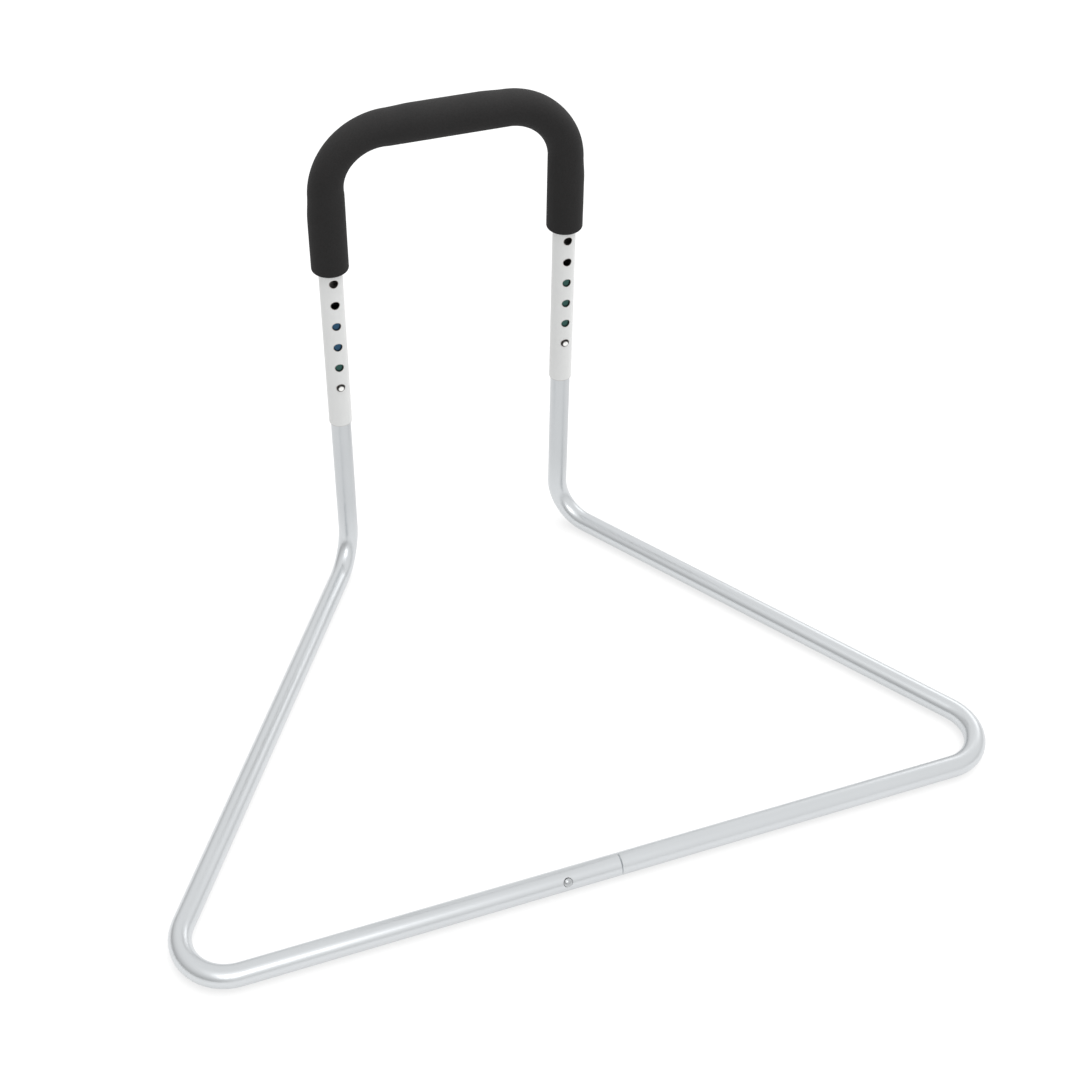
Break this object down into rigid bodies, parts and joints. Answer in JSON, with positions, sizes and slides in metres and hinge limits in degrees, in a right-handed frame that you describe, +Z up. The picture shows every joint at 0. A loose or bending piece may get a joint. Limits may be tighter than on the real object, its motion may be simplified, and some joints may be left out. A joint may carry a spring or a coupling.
{
  "type": "bed assist rail",
  "caption": "Adjustable bed assist rail: foam-covered U-shaped handle telescoping on a flat two-piece tubular base with snap buttons.",
  "frame": {"origin": "on the floor, under the middle of the overall box, with the handle in its highest setting", "axes": "+Z up; +X along the front bar, to the right when the rail is faced from its front bar; +Y from the front bar towards the legs"},
  "size_m": [0.8189, 0.522, 0.5538],
  "materials": {
    "handle_tube": "satin light grey powder coat",
    "grip_foam": "matte closed-cell foam, charcoal",
    "base_tube": "bright plated steel tube",
    "button": "plated steel",
    "spring_strip": "spring steel strip"
  },
  "bodies": {
    "base": {"base_left_tube": "base_tube", "base_right_tube": "base_tube", "left_leg_spring": "spring_strip", "right_leg_spring": "spring_strip", "front_joint_spring": "spring_strip"},
    "handle": {"handle_tube": "handle_tube", "foam_grip": "grip_foam"},
    "left_button": {"left_leg_button": "button"},
    "right_button": {"right_leg_button": "button"},
    "front_button": {"front_joint_button": "button"}
  },
  "joints": [
    {"name": "handle_height", "type": "slide", "parent": "base", "child": "handle", "axis": [0, 0, 1], "range_m": [-0.127, 0], "deforming": ["left_leg_button", "right_leg_button"]},
    {"name": "left_button_press", "type": "slide", "parent": "base", "child": "left_button", "axis": [0, 1, 0], "range_m": [0, 0.0036], "stiffness_N_per_m": 1500, "springref_m": -0.002, "deforming": ["left_leg_spring"]},
    {"name": "right_button_press", "type": "slide", "parent": "base", "child": "right_button", "axis": [0, 1, 0], "range_m": [0, 0.0036], "stiffness_N_per_m": 1500, "springref_m": -0.002, "deforming": ["right_leg_spring"]},
    {"name": "front_button_press", "type": "slide", "parent": "base", "child": "front_button", "axis": [0, 0.8192, -0.5736], "range_m": [0, 0.0036], "stiffness_N_per_m": 1500, "springref_m": -0.002, "deforming": ["front_joint_spring"]}
  ]
}
